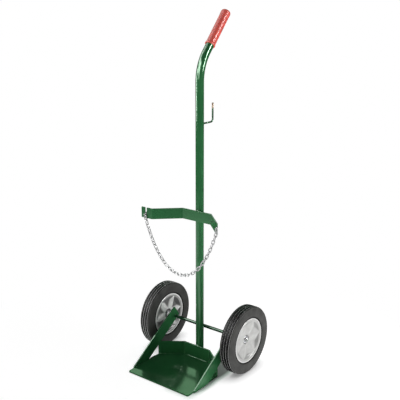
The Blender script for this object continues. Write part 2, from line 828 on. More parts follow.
@dataclass
class Mast:
    """Bent tube with its grip and hose hook."""

    y: float = 135.0
    tube_r: float = 15.0
    tube_wall: float = 2.0
    rim: float = 0.5
    bend_z: float = 1052.0
    bend_r: float = 154.0
    bend_angle: float = 41.0
    handle_l: float = 175.0
    grip_l: float = 145.0
    grip_cap: float = 4.0
    grip_r: float = 17.5
    grip_bore: float = 15.05
    lip_r: float = 18.7
    lip_l: float = 5.0
    grip_round: float = 8.0
    waist_drop: float = 0.5
    waist_from: float = 3.0
    waist_to: float = 22.0
    knob_from: float = 16.0
    hook_r: float = 3.25
    hook_z: float = 906.0
    hook_reach: float = 61.0
    hook_bend_r: float = 11.0
    hook_tip_h: float = 68.0
    hook_root: float = 1.5
    hook_chamfer: float = 1.0
    weld_r: float = 1.3
    weld_gap: float = 0.6
    weld_lift: float = 0.4

    @property
    def back(self) -> float:
        """Y of the mast's back."""
        return self.y + self.tube_r

    @property
    def handle_axis(self) -> Array:
        """Direction of the straight handle."""
        lean = math.radians(self.bend_angle)
        return np.array([0.0, math.sin(lean), math.cos(lean)])

    @property
    def handle_start(self) -> Array:
        """Middle of the tube at the end of the bend."""
        return self.bend_at(np.radians(self.bend_angle))

    def bend_at(self, angle: Array) -> Array:
        """Middle of the tube in the bend.

        The bend runs back by its radius less the cosine's share of it, and up by the sine's share.

        Args:
            angle: angles along the bend, in radians.

        Returns:
            One point for each angle.
        """
        back = self.y + self.bend_r * (1 - np.cos(angle))
        return np.stack([0 * angle, back, self.bend_z + self.bend_r * np.sin(angle)], axis=-1)

    def skin_y(self, x: Array, gap: float, facing: int) -> Array:
        """Y of the tube's back (facing 1) or front (-1) at places across it, a gap off its skin."""
        return self.y + facing * np.sqrt((self.tube_r + gap) ** 2 - x**2)

    def centre_line(self) -> Array:
        """Middle line of the tube.

        Returns:
            A straight run up, an arc whose angle grows evenly to the lean of the handle, and the
            straight handle.
        """
        low = np.linspace(self.rim, self.bend_z, 40, endpoint=False)
        angle = np.radians(np.linspace(0, self.bend_angle, 40))
        top = np.linspace(0, self.handle_l - self.rim, 12)[1:]
        run = np.stack([0 * low, 0 * low + self.y, low], axis=1)
        return np.vstack([run, self.bend_at(angle), self.handle_start + top[:, None] * self.handle_axis])

    def build_tube(self) -> None:
        """Carries a circle up the middle line at the outer radius and back down at the inner one."""
        line = self.centre_line()
        foot = np.array([0.0, self.y, 0.0])
        top = self.handle_start + self.handle_l * self.handle_axis
        path = np.vstack([line, top, top, line[::-1], foot, foot])
        inner_r = self.tube_r - self.tube_wall
        outer = np.full(len(line), self.tube_r)
        rim = [self.tube_r - self.rim, inner_r + self.rim]
        radius = np.concatenate([outer, rim, np.full(len(line), inner_r), rim[::-1]])
        lean = np.gradient(line, axis=0)
        tangent = unit(np.vstack([lean, lean[-1:], lean[-1:], lean[::-1], lean[:1], lean[:1]]))
        up = np.cross(X_AXIS, tangent)
        circle = round_section(1.0, 64)
        offset = circle[None, :, :1] * up[:, None] + circle[None, :, 1:] * X_AXIS
        surface = grid_surface(path[:, None] + radius[:, None, None] * offset, wrap_rows=True)
        make_piece("mast_skin", surface, ENAMEL, "frame", "mast_tube")

    def build_grip(self) -> None:
        """Turns the grip's profile about the handle: lip, slim waist, rounded closed end and bore."""
        end = self.grip_l + self.grip_cap
        waist = self.grip_r - self.waist_drop
        corners = np.array([
            [self.grip_l, 0.0], [self.grip_l, self.grip_bore], [0.0, self.grip_bore],
            [0.0, self.lip_r], [self.lip_l, self.lip_r], [self.lip_l + self.waist_from, waist],
            [end - self.waist_to, waist], [end - self.knob_from, self.grip_r], [end, self.grip_r], [end, 0.0],
        ])
        # One radius for each corner
        radius = np.array([0.0, 0.5, 0.5, 0.8, 1.5, 2.5, 8.0, 8.0, self.grip_round, 0.0])
        profile = rounded_path(corners, radius, steps=8)
        origin = self.handle_start + (self.handle_l - self.grip_l) * self.handle_axis
        surface = revolve(profile, origin, self.handle_axis, X_AXIS, sides=64, closed=False)
        make_piece("grip_sleeve", surface, VINYL, "frame", "handle_grip")

    def build_hook(self) -> None:
        """Carries a circle along the hook's arm, bend and leg, thinned to a chamfer at the tip."""
        leg_y = self.back + self.hook_reach
        corners = np.array([[0, self.back - self.hook_root, self.hook_z], [0, leg_y, self.hook_z],
                            [0, leg_y, self.hook_z + self.hook_tip_h - self.hook_chamfer]])
        path = rounded_path(corners, self.hook_bend_r, steps=20)
        # Shares of the chamfer's height, and of the rod's radius there
        tip = corners[-1] + self.hook_chamfer * np.array([[0.6], [1.0]]) * Z_AXIS
        scale = np.concatenate([np.ones(len(path)), [0.9, 0.72]])
        surface = sweep(np.vstack([path, tip]), X_AXIS, round_section(self.hook_r, 24), scale)
        make_piece("hook_rod", surface, HOOK_ENAMEL, "frame", "hose_hook")

    def build_welds(self) -> None:
        """Lays a ring of weld round the hook's root, on the back of the tube."""
        x, z = round_section(self.hook_r + self.weld_gap, 40).T
        ring = np.stack([x, self.skin_y(x, 0.0, 1) + self.weld_lift, self.hook_z + z], axis=1)
        make_piece("hook_weld", weld_bead(ring, Y_AXIS, self.weld_r, closed=True), ENAMEL, "frame")

    def build(self) -> None:
        """Builds the tube, the grip, the hook and its weld."""
        self.build_tube()
        self.build_grip()
        self.build_hook()
        self.build_welds()


@dataclass
class Strip:
    """Flat strip bent round the carried cylinder and welded to the front of the mast.

    Args:
        name: name of the piece.
        node: CAD node that it stands for.
        face: corners of the face towards the cylinder, seen from above, from right to left.
        low: height of the lower edge.
        high: height of the upper edge.
        thickness: thickness of the strip.
        bend_r: bend radius of the middle of the strip.
        half_width: half of the width to which the ends are cut, or 0.
        weld_r: radius of the weld beads.
        weld_half: half of the length of the bead on the upper edge.
        weld_lift: distance of that bead from the tube.
        weld_inset: distance of the upright beads from the edges of the strip.
        groove: distance of the upright beads from the middle of the tube and from its front.
    """

    name: str
    node: str
    face: Array
    low: float
    high: float
    thickness: float = 5.0
    bend_r: float = 6.5
    half_width: float = 0.0
    weld_r: float = 1.9
    weld_half: float = 8.5
    weld_lift: float = 0.4
    weld_inset: float = 2.0
    groove: tuple[float, float] = (7.2, 1.4)

    def outline(self) -> Array:
        """Closed plan outline with rounded bends.

        Returns:
            The outline, cut to its width where one is given.
        """
        middle = rounded_path(offset_path(self.face, self.thickness / 2), self.bend_r, steps=10)
        outline = strip_outline(middle, self.thickness)
        if self.half_width:
            n = len(middle)
            for end, inner in ((0, 1), (n - 1, n - 2), (n, n + 1), (2 * n - 1, 2 * n - 2)):
                step = outline[end] - outline[inner]
                reach = (self.half_width * np.sign(outline[end, 0]) - outline[inner, 0]) / step[0]
                outline[end] = outline[inner] + reach * step
        return outline

    def build(self) -> bpy.types.Object:
        """Raises the plan outline to the strip's height."""
        surface = prism(self.outline(), self.low, self.high, Lie.PLAN)
        return make_piece(self.name, surface, ENAMEL, "frame", self.node)

    def build_welds(self, mast: Mast) -> None:
        """Lays weld beads in the two grooves beside the tube and on the upper edge of the strip.

        Args:
            mast: the mast that carries the strip.
        """
        front = mast.y - mast.tube_r
        x = np.linspace(-self.weld_half, self.weld_half, 25)
        cap = np.stack([x, mast.skin_y(x, self.weld_lift, -1), 0 * x + self.high], axis=1)
        run = np.linspace(self.low + self.weld_inset, self.high - self.weld_inset, 41)[:, None] * Z_AXIS
        beads = [weld_bead(cap, Z_AXIS, self.weld_r)]
        for side in Side:
            foot = np.array([side.value * self.groove[0], front + self.groove[1], 0.0])
            beads.append(weld_bead(run + foot, X_AXIS, self.weld_r))
        make_piece(f"{self.name}_weld", join(*beads), ENAMEL, "frame")


@dataclass
class Cradle:
    """Upper strip that the cylinder leans on, with the slotted tab for the chain."""

    top: float = 593.0
    height: float = 40.0
    thickness: float = 5.0
    face_y: float = 115.0
    half_mid: float = 63.0
    end_x: float = 146.645
    end_y: float = 37.544
    tab_l: float = 50.0
    slot_x: float = 29.0
    slot_w: float = 9.0
    slot_depth: float = 34.5
    slot_over: float = 5.0
    eased: float = 0.7

    def build(self, mast: Mast) -> None:
        """Builds the strip, cuts the slot and welds the strip to the mast.

        Args:
            mast: the mast that carries the cradle.
        """
        face = np.array([
            [self.end_x, self.end_y], [self.half_mid, self.face_y], [-self.half_mid, self.face_y],
            [-self.end_x, self.end_y], [-self.end_x - self.tab_l, self.end_y],
        ])
        strip = Strip("cradle_strip", "cylinder_bracket", face, self.top - self.height, self.top)
        piece = strip.build()
        cut_out(piece, self.slot())
        ease_edges(piece, self.eased)
        strip.build_welds(mast)

    def slot(self) -> Surface:
        """Space of the chain slot.

        Returns:
            A half circle at the foot and straight sides past the top edge.
        """
        middle = -self.end_x - self.slot_x
        r = self.slot_w / 2
        foot = self.top - self.slot_depth + r
        angle = np.linspace(-np.pi, 0, 17)
        arc = np.stack([middle + r * np.cos(angle), foot + r * np.sin(angle)], axis=1)
        over = self.top + self.slot_over
        outline = np.vstack([arc, [[middle + r, over], [middle - r, over]]])
        back = self.end_y + self.thickness
        return prism(outline, self.end_y - self.slot_over, back + self.slot_over, Lie.FRONT)


@dataclass
class Base:
    """Toe plate, its back wall and the two braces.

    A weld's gap is the distance of its middle from the faces that it joins.
    """

    half_w: float = 140.0
    front: float = 115.0
    plate_t: float = 5.0
    corner_r: float = 5.0
    wall_h: float = 57.0
    wall_y: float = 115.0
    half_mid: float = 59.0
    wall_end_y: float = 53.962
    brace_t: float = 5.0
    brace_corners: tuple[tuple[float, float], ...] = (
        (156.482, 166.661), (-83.229, 8.0), (-83.229, 0.0), (-6.537, 0.0), (183.526, 125.8))
    brace_round: tuple[float, ...] = (6.0, 3.0, 1.0, 3.0, 6.0)
    rear_r: float = 0.2
    wall_over: float = 10.0
    eased: float = 0.8
    wall_eased: float = 0.7
    seam_r: float = 1.2
    seam_gap: float = 0.3
    seam_inset: float = 2.0
    seam_part: tuple[float, float] = (0.06, 0.94)
    stitch_r: float = 1.5
    stitch_l: float = 30.0
    stitch_from: tuple[float, ...] = (-70.0, 5.0)
    ring_r: float = 1.7
    ring_gap: float = 0.7
    ring_inset: float = 0.6

    def wall_face(self) -> Array:
        """Corners of the wall's face seen from above.

        Returns:
            The corners from right to left, drawn past the width to which the wall is cut.
        """
        slope = (self.wall_y - self.wall_end_y) / (self.half_w - self.half_mid)
        end_x, end_y = self.half_w + self.wall_over, self.wall_end_y - self.wall_over * slope
        return np.array([[end_x, end_y], [self.half_mid, self.wall_y],
                         [-self.half_mid, self.wall_y], [-end_x, end_y]])

    def build_plate(self) -> None:
        """Raises the plate's outline to its thickness, with rounded corners."""
        corners = np.array([
            [-self.half_w, -self.front], [self.half_w, -self.front], [self.half_w, self.wall_end_y],
            [self.half_mid, self.wall_y], [-self.half_mid, self.wall_y], [-self.half_w, self.wall_end_y],
        ])
        radius = np.array([self.corner_r] * 2 + [self.rear_r] * 4)
        outline = rounded_path(corners, radius, steps=6, closed=True)
        plate = make_piece("toe_plate", prism(outline, 0, self.plate_t, Lie.PLAN), PLATE_ENAMEL,
                           "frame", "base_plate")
        ease_edges(plate, self.eased)

    def build_brace(self, side: Side) -> None:
        """Raises a brace's outline to its thickness.

        Args:
            side: side of the trolley.
        """
        outline = rounded_path(np.array(self.brace_corners), np.array(self.brace_round), closed=True)
        low, high = sorted((side.value * self.half_w, side.value * (self.half_w + self.brace_t)))
        brace = make_piece(side.node("brace_bar"), prism(outline, low, high, Lie.SIDE), ENAMEL,
                           "frame", side.node("brace"))
        ease_edges(brace, self.eased)

    def build_welds(self, axle: "Axle") -> None:
        """Lays beads along the wall's foot, stitches beside the braces and rings round the axle.

        Args:
            axle: the axle that the braces hold.
        """
        beads = []
        seam = self.wall_face()
        z = self.plate_t + self.seam_gap
        for first, last in zip(seam[:-1], seam[1:]):
            flat = first + np.linspace(*self.seam_part, 81)[:, None] * (last - first)
            inside = flat[np.abs(flat[:, 0]) < self.half_w - self.seam_inset]
            path = np.column_stack([inside, np.full(len(inside), z)]) - self.seam_gap * Y_AXIS
            beads.append(weld_bead(path, Z_AXIS, self.seam_r))
        for side in Side:
            x = side.value * (self.half_w - self.seam_gap)
            for start in self.stitch_from:
                y = np.linspace(start, start + self.stitch_l, 25)
                path = np.stack([0 * y + x, y, 0 * y + z], axis=1)
                beads.append(weld_bead(path, Z_AXIS, self.stitch_r))
            circle = round_section(axle.r + self.ring_gap, 48)
            middle = axle.at(side.value * (self.half_w - self.ring_inset))
            ring = middle + np.column_stack([np.zeros(len(circle)), circle])
            beads.append(weld_bead(ring, X_AXIS, self.ring_r, closed=True))
        make_piece("base_welds", join(*beads), ENAMEL, "frame")

    def build(self, mast: Mast, axle: "Axle") -> None:
        """Builds the plate, the wall, the braces and their welds.

        Args:
            mast: the mast that stands behind the wall.
            axle: the axle that the braces hold.
        """
        self.build_plate()
        wall = Strip("toe_wall", "back_wall", self.wall_face(), 0.0, self.wall_h, half_width=self.half_w)
        ease_edges(wall.build(), self.wall_eased)
        wall.build_welds(mast)
        for side in Side:
            self.build_brace(side)
        self.build_welds(axle)


@dataclass
class Axle:
    """Plain rod across the back of the mast."""

    r: float = 6.35
    y: float = AXLE_Y
    z: float = AXLE_Z
    half_l: float = 204.0
    chamfer: float = 1.0
    plain_half: float = 150.0
    weld_r: float = 1.9
    weld_half: float = 9.0
    weld_gap: float = 0.3
    weld_lift: float = 0.8
    weld_off: float = 3.6

    def at(self, x: float) -> Array:
        """Point on the axle's middle line."""
        return np.array([x, self.y, self.z])

    def build(self, mast: Mast) -> None:
        """Turns the rod's profile with chamfered ends, and welds the rod to the mast.

        Args:
            mast: the mast that the rod lies against.
        """
        end, cut = self.half_l, self.chamfer
        # Both edges of the chamfer are eased by a few tenths of a millimetre
        half = np.array([[end, 0.0], [end, self.r - cut - 0.3], [end - 0.2, self.r - cut],
                         [end - cut, self.r - 0.1], [end - cut - 0.4, self.r]])
        places = np.linspace(self.plain_half, -self.plain_half, 13)
        body = np.stack([places, np.full(len(places), self.r)], axis=1)
        profile = np.vstack([half, body, half[::-1] * [-1, 1]])
        surface = revolve(profile, self.at(0), X_AXIS, Y_AXIS, sides=40, closed=False)
        make_piece("axle_rod", surface, AXLE_ENAMEL, "frame", "axle")
        x = np.linspace(-self.weld_half, self.weld_half, 25)
        y = mast.skin_y(x, self.weld_gap, 1) + self.weld_lift
        saddle = np.stack([x, y, 0 * x + self.z], axis=1)
        beads = [weld_bead(saddle + rise * Z_AXIS, Z_AXIS, self.weld_r)
                 for rise in (-self.weld_off, self.weld_off)]
        make_piece("axle_weld", join(*beads), ENAMEL, "frame")


@dataclass
class Wheel:
    """Tyre, two pressed discs, hub and fasteners on one end of the axle.

    Args:
        side: side of the trolley. Axial places count outwards from the middle of the wheel.
    """

    side: Side
    middle: float = WHEEL_MIDDLE
    tyre_r: float = 127.0
    tyre_half: float = 22.75
    shoulder: float = 7.0
    crown: float = 0.5
    groove_w: float = 3.0
    groove_depth: float = 4.0
    groove_slope: float = 0.5
    groove_n: int = 4
    seat_r: float = 79.0
    flange_h: float = 4.5
    flange_a: float = 19.0
    sheet: float = 2.0
    hub_r: float = 12.7
    hub_wall: float = 2.5
    bush_l: float = 16.0
    bush_bore: float = 6.4
    hub_in: float = -41.9
    hub_out: float = 5.0
    washer_r: float = 14.0
    washer_bore: float = 6.55
    washer_t: float = 2.0
    play: float = 0.3
    floor_r: float = 57.7
    web_r: float = 72.0
    ridge_n: int = 6
    ridge_turn: float = 5.0
    ridge_w: float = 40.0
    ridge_in: float = 15.5
    ridge_sink: float = 0.5
    ridge_round: float = 1.5
    ridge_blend: float = 1.2
    roll_w: float = 2.5
    roll_h: float = 0.8
    outer_dish: float = 2.0
    outer_ridge: float = 5.0
    inner_dish: float = 8.0
    inner_ridge: float = 10.0
    pin_wire: float = 0.8
    pin_turn: float = -35.0
    pin_spread: float = 40.0
    pin_reach: float = 7.35
    pin_eye_r: float = 2.4
    pin_leg: float = 6.35
    pin_bend_r: float = 2.0
    pin_neck: float = 0.6
    pin_eye_open: float = 28.0
    ring_edge: float = 0.4
    hub_edge: float = 0.5

    @property
    def body(self) -> str:
        """CAD body of the turning pieces."""
        return self.side.node("wheel")

    @property
    def out(self) -> Array:
        """Outward direction of the axle."""
        return self.side.value * X_AXIS

    def turned(self, profile: Array, axle: Axle, sides: int = 64) -> Surface:
        """Ring of a closed profile about the axle, axial places counted from the wheel's middle."""
        return revolve(profile, axle.at(self.side.value * self.middle), self.out, Y_AXIS, sides)

    def tyre_profile(self) -> Array:
        """Closed section of the tyre.

        Returns:
            Seat, bead, bulged side, shoulder and tread with grooves, as axial place and radius.
        """
        half, top = self.tyre_half, self.tyre_r
        step = (2 * half - 2 * self.shoulder) / (self.groove_n - 1)
        groove = self.shoulder - half + step * np.arange(self.groove_n)
        mouth, foot = self.groove_w / 2, self.groove_w / 2 - self.groove_slope
        edges = groove[:, None] + np.array([-mouth, -foot, foot, mouth])
        drop = np.array([0.0, self.groove_depth, self.groove_depth, 0.0])
        rise = top - self.crown * (edges / half) ** 2 - drop
        tread = np.stack([edges.ravel(), rise.ravel()], axis=1)
        # Shoulder, shallow groove, flank, bead line and bead, as steps from half, top and seat
        side = np.array([
            [half - 0.9, top - 3.2], [half - 1.2, top - 9.0], [half - 0.1, top - 12.0],
            [half, top - 30.0], [half - 0.9, self.seat_r + 9.5], [half - 0.4, self.seat_r + 8.0],
            [half - 1.0, self.seat_r + 5.4], [self.flange_a - 0.3, self.seat_r + 4.8],
            [self.flange_a - 0.3, self.seat_r],
        ])
        corners = np.vstack([side[::-1] * [-1, 1], tread, side])
        # One radius for each corner of a side
        sizes = np.array([2.6, 1.2, 2.0, 12.0, 0.4, 0.8, 0.8, 0.3, 0.3])
        radius = np.concatenate([sizes[::-1], np.full(len(tread), 0.4), sizes])
        return rounded_path(corners, radius, steps=5, closed=True)

    def disc_surface(self, dish: float, ridge: float, facing: int, axle: Axle) -> Surface:
        """Pressed disc on one face of the wheel.

        The height of the sheet is a flat floor that rises in a cone to the rim and rolls over into
        the flange. The ridges are roofs whose tops run from beside the hub to the rim: the height
        falls evenly with the distance from the ridge's line. Floor and roofs meet in a smooth
        maximum, and the back of the sheet is the same height less its thickness.

        Args:
            dish: axial place of the sheet at the hub.
            ridge: height of the ridges beside the hub.
            facing: 1 for the outer face of the wheel, -1 for the inner one.
            axle: the axle that carries the wheel.

        Returns:
            The closed disc.
        """
        radius = np.concatenate([np.linspace(self.hub_r, self.web_r, 60), [self.web_r + self.roll_w]])
        radius = radius[:, None]
        angle = np.linspace(0, 2 * np.pi, 240, endpoint=False)[None, :]
        rim = self.flange_a + self.sheet
        web = np.interp(radius, [self.hub_r, self.floor_r, self.web_r, self.web_r + self.roll_w],
                        [dish + self.sheet, dish + self.sheet, self.flange_a, rim - self.roll_h])
        spacing = 2 * np.pi / self.ridge_n
        turn = math.radians(self.ridge_turn)
        off = np.mod(angle - turn + spacing / 2, spacing) - spacing / 2
        across = np.sqrt((radius * np.sin(off)) ** 2 + self.ridge_round**2) - self.ridge_round
        line = np.interp(radius, [self.hub_r, self.web_r],
                         [dish + self.sheet + ridge, self.flange_a - self.ridge_sink])
        start = dish + self.sheet / 2 + (radius - self.ridge_in) * (rim - dish - self.sheet / 2) / ridge
        roof = np.minimum(line - across * 2 * ridge / self.ridge_w, start)
        front = (web + roof + np.sqrt((web - roof) ** 2 + self.ridge_blend**2)) / 2
        front = np.where(radius > self.web_r, web, front)
        seat, edge = self.seat_r, self.seat_r + self.flange_h
        # Roll into the flange, its rounded edge, the seat in the tyre and the way back to the web
        lip = np.array([
            [seat - 1.5, rim - 0.1], [edge - 1.2, rim], [edge - 0.3, rim - 0.3], [edge, rim - 1.0],
            [edge - 0.3, rim - 1.7], [edge - 1.2, rim - self.sheet], [seat, self.flange_a], [seat, 1.0],
            [seat - self.sheet, 1.0], [seat - self.sheet, self.flange_a - 3.0],
        ])
        cols = angle.shape[1]
        tall = np.vstack([front, np.repeat(lip[:, 1:], cols, axis=1), (front - self.sheet)[::-1]])
        wide = np.concatenate([radius, lip[:, :1], radius[::-1]])
        ray = np.stack([0 * angle, np.cos(angle), np.sin(angle)], axis=-1)
        axial = (facing * self.side.value) * tall[..., None] * X_AXIS
        points = axle.at(self.side.value * self.middle) + axial + wide[..., None] * ray
        return grid_surface(points, wrap_rows=True)

    def pin_surface(self, axle: Axle) -> Surface:
        """Split pin: one wire that runs up a bent leg, round the eye and down the other leg.

        Args:
            axle: the axle that holds the pin.

        Returns:
            The wire carried along its path in the plane square to the axle.
        """
        spread = math.radians(self.pin_spread)
        tip = np.array([self.pin_wire + self.pin_leg * math.sin(spread),
                        -self.pin_reach - self.pin_leg * math.cos(spread)])
        angle = np.radians(np.linspace(self.pin_eye_open - 90, 270 - self.pin_eye_open, 25))
        eye = np.stack([self.pin_eye_r * np.cos(angle),
                        self.pin_reach + self.pin_eye_r + self.pin_eye_r * np.sin(angle)], axis=1)
        neck = self.pin_reach - self.pin_neck
        corners = np.array([tip, [self.pin_wire, -self.pin_reach], [self.pin_wire, neck]])
        shank = rounded_path(corners, self.pin_bend_r, steps=7)
        flat = np.vstack([shank, eye, (shank * [-1, 1])[::-1]])
        turn = math.radians(self.pin_turn)
        y = flat[:, 0] * math.cos(turn) - flat[:, 1] * math.sin(turn)
        z = flat[:, 0] * math.sin(turn) + flat[:, 1] * math.cos(turn)
        x = self.side.value * (self.middle + self.hub_out + self.play + self.washer_t + 2 * self.pin_wire)
        path = axle.at(x) + np.stack([0 * y, y, z], axis=1)
        return sweep(path, X_AXIS, round_section(self.pin_wire, 12))

    def build(self, axle: Axle) -> None:
        """Builds the tyre, the discs, the hub, the bushings, the washers and the split pin.

        Args:
            axle: the axle that carries the wheel.
        """
        node, body = self.side.node, self.body
        make_piece(node("tyre_ring"), self.turned(self.tyre_profile(), axle, sides=144), RUBBER, body,
                   node("tyre"))
        for face, dish, ridge, facing, finish in (
                ("outer", self.outer_dish, self.outer_ridge, 1, DISC_SILVER),
                ("inner", self.inner_dish, self.inner_ridge, -1, HOLLOW_SILVER)):
            surface = self.disc_surface(dish, ridge, facing, axle)
            make_piece(node(f"{face}_pressing"), surface, finish, body, node(f"{face}_disc"))
        bore = self.hub_r - self.hub_wall
        hub = self.turned(ring_profile(bore, self.hub_r, self.hub_in, self.hub_out, self.hub_edge), axle)
        make_piece(node("hub_sleeve"), hub, ZINC, body, node("hub_tube"))
        sections = [ring_profile(self.bush_bore, bore, start, start + self.bush_l, self.ring_edge)
                    for start in (self.hub_in, self.hub_out - self.bush_l)]
        bushes = [self.turned(section, axle) for section in sections]
        make_piece(node("bush_rings"), join(*bushes), BRONZE, body, node("bushings"))
        inner = self.hub_in - self.play - self.washer_t
        for face, start in (("inner", inner), ("outer", self.hub_out + self.play)):
            end = start + self.washer_t
            profile = ring_profile(self.washer_bore, self.washer_r, start, end, self.ring_edge)
            make_piece(node(f"{face}_thrust_washer"), self.turned(profile, axle), ZINC, "frame",
                       node(f"{face}_washer"))
        make_piece(node("split_pin"), self.pin_surface(axle), ZINC, "frame", node("cotter_pin"))


@dataclass
class Chain:
    """Safety chain that hangs between the slotted tab and the right end of the cradle."""

    wire_r: float = 1.8
    pitch: float = 16.25
    link_r: float = 4.8
    gap: float = 0.3
    swing_gap: float = 0.5
    count: int = 33
    slot_tilt: float = 30.0
    swell: float = 0.16
    swell_l: float = 1.6
    growths: tuple[float, float, int] = (0.1, 0.3, 2001)
    slot_inner: Array = field(default_factory=lambda: np.array([-175.645, 33.9483, 564.345]))
    right_seat: Array = field(default_factory=lambda: np.array([149.665, 33.355, 560.059]))

    @property
    def hang(self) -> float:
        """Half of the distance between the wires of two links that hang in each other."""
        return self.wire_r + self.gap / 2

    @property
    def slot_axis(self) -> Array:
        """Direction of the link that lies in the slot."""
        tilt = math.radians(self.slot_tilt)
        return np.array([0.0, math.cos(tilt), math.sin(tilt)])

    @property
    def left_seat(self) -> Array:
        """Point on the slot link's wire, straight below its inner end, that carries the chain."""
        back = (self.link_r - 2 * self.hang) * self.slot_axis
        return self.slot_inner + (back[2] - math.sqrt(self.link_r**2 - back[1] ** 2)) * Z_AXIS

    def links(self, middles: Array, along: Array, across: Array) -> Surface:
        """Round wire bent into ovals, with the swelling of the butt weld on one leg.

        A link's middle line is a half circle at each end of two straight legs, and the wire swells
        by a bell curve about the middle of the upper leg.

        Args:
            middles: middle of each link.
            along: direction of each link's length.
            across: direction of each link's width.

        Returns:
            All the links.
        """
        straight = self.pitch / 2 + self.hang - self.link_r
        angle = np.linspace(-np.pi / 2, np.pi / 2, 15)
        bend = np.stack([straight + self.link_r * np.cos(angle), self.link_r * np.sin(angle)], axis=1)
        leg = np.linspace(straight, -straight, 11)[1:-1]
        upper = np.stack([leg, np.full(len(leg), self.link_r)], axis=1)
        line = np.vstack([bend, upper, -bend, -upper])
        swell = 1 + self.swell * np.exp(-((line[:, 0] / self.swell_l) ** 2)) * (line[:, 1] > 0)
        wire = round_section(self.wire_r, 14)
        paths = middles[:, None] + line[None, :, :1] * along[:, None] + line[None, :, 1:] * across[:, None]
        normals = np.cross(along, across)
        return join(*(sweep(path, normal, wire, swell, closed=True) for path, normal in zip(paths, normals)))

    def slopes(self, span: float) -> Array:
        """Slope angle of each swinging link.

        The slope grows evenly with the distance from the lowest link. The growth is read from a
        table of the spans that a range of growths gives.

        Args:
            span: level distance between the two wires that carry the chain.

        Returns:
            The angles, in radians.
        """
        place = np.arange(self.count) - (self.count - 1) / 2
        growth = np.linspace(*self.growths)
        angles = np.arctan(growth[:, None] * place)
        slack = 2 * self.hang - 2 * (2 * self.wire_r + self.swing_gap)
        spans = self.pitch * np.cos(angles).sum(axis=1) + slack * np.cos(angles[:, 0])
        return np.arctan(np.interp(-span, -spans, growth) * place)

    def hanging(self) -> Surface:
        """Swinging links on the hanging curve.

        Returns:
            Links that follow each other at the pitch along their slopes, every other link turned flat.
        """
        left = self.left_seat
        reach = (self.right_seat - left) * [1.0, 1.0, 0.0]
        right = unit(reach)
        depth = np.cross(Z_AXIS, right)
        slope = self.slopes(float(np.linalg.norm(reach)))
        along = np.cos(slope)[:, None] * right + np.sin(slope)[:, None] * Z_AXIS
        start = left - (2 * self.wire_r + self.swing_gap - self.hang) * along[0]
        middles = start + self.pitch * (np.cumsum(along, axis=0) - along / 2)
        upright = (np.arange(self.count) % 2 == 0)[:, None]
        across = np.where(upright, np.cross(along, depth), depth)
        return self.links(middles, along, across)

    def build(self) -> None:
        """Builds the swinging links, the link in the slot, the tail link and the welded end link."""
        make_piece("swinging_links", self.hanging(), CHAIN_ZINC, "chain", "chain_links")
        slope = self.slot_axis
        tail = self.slot_inner + (self.pitch - 2 * self.hang) * slope
        seat = tail + (self.link_r - 2 * self.hang) * np.cross(slope, X_AXIS)
        reach = (self.pitch / 2 + self.hang) * Z_AXIS
        singles = (
            ("slot_oval", "chain_slot_link", (self.slot_inner + tail) / 2, slope, np.cross(X_AXIS, slope)),
            ("tail_oval", "chain_tail_link", seat - reach, -Z_AXIS, X_AXIS),
            ("end_oval", "chain_end_link", self.right_seat + reach, Z_AXIS, Y_AXIS),
        )
        for name, node, middle, along, across in singles:
            surface = self.links(middle[None], along[None], across[None])
            make_piece(name, surface, CHAIN_ZINC, "frame", node)


# Studio


def look_along(direction: Array) -> tuple[float, float, float]:
    """Euler angles of a lamp whose -Z axis points in a direction and whose X axis is level."""
    x, y, z = unit(direction)
    return (math.acos(-z), 0.0, math.atan2(-x, y))


@dataclass(frozen=True)
class Lamp:
    """Soft rectangular lamp that faces the trolley.

    Args:
        name: name of the lamp.
        azimuth: bearing from the trolley, clockwise from the camera's heading, in degrees.
        height: angle above the level of the target, in degrees.
        distance: distance from the target, in metres.
        size: width and height, in metres.
        power: power of the lamp, in watts.
        gloss: whether reflections show the lamp.
        matt: whether matt surfaces receive its light.
        target: height of the point that it faces, in metres.
        target_y: Y of the point that it faces, in metres.
    """

    name: str
    azimuth: float
    height: float
    distance: float
    size: tuple[float, float]
    power: float
    gloss: bool = True
    matt: bool = True
    target: float = 0.7
    target_y: float = 0.1

    def build(self, heading: Array) -> None:
        """Hangs the lamp.

        Args:
            heading: level direction in which the camera looks.
        """
        turn, rise = math.radians(self.azimuth), math.radians(self.height)
        level = math.sin(turn) * np.cross(heading, Z_AXIS) + math.cos(turn) * heading
        toward = math.cos(rise) * level + math.sin(rise) * Z_AXIS
        data = bpy.data.lights.new(self.name, "AREA")
        data.shape = "RECTANGLE"
        data.size, data.size_y = self.size
        data.energy = self.power
        lamp = bpy.data.objects.new(self.name, data)
        lamp.location = np.array([0.0, self.target_y, self.target]) + self.distance * toward
        lamp.rotation_euler = look_along(-toward)
        lamp.visible_glossy = self.gloss
        lamp.visible_diffuse = self.matt
        bpy.context.scene.collection.objects.link(lamp)


LAMPS = (
    Lamp("left_panel", -118.0, 28.0, 2.5, (2.6, 1.3), 170.0, matt=False, target=1.15),
    Lamp("front_panel", -148.0, 20.0, 2.5, (1.4, 1.7), 80.0, matt=False, target=1.15),
    Lamp("left_strip", -88.0, 0.0, 2.2, (0.4, 1.2), 55.0, matt=False, target=1.17),
    Lamp("right_strip", 110.0, 15.0, 2.3, (0.4, 1.2), 95.0, matt=False, target=1.2),
    Lamp("top_panel", -85.0, 62.0, 2.2, (0.9, 0.9), 11.0, matt=False, target=1.2),
    Lamp("edge_panel", -71.0, 50.0, 2.2, (0.9, 0.9), 25.0, matt=False, target=0.5),
    Lamp("top_fill", 20.0, 75.0, 2.4, (1.2, 1.2), 7.0, gloss=False, target=0.1),
    Lamp("left_fill", -110.0, 15.0, 2.6, (1.6, 1.6), 6.0, gloss=False),
    Lamp("right_fill", 95.0, 10.0, 1.0, (0.6, 0.6), 4.4, gloss=False, target=0.2),
)


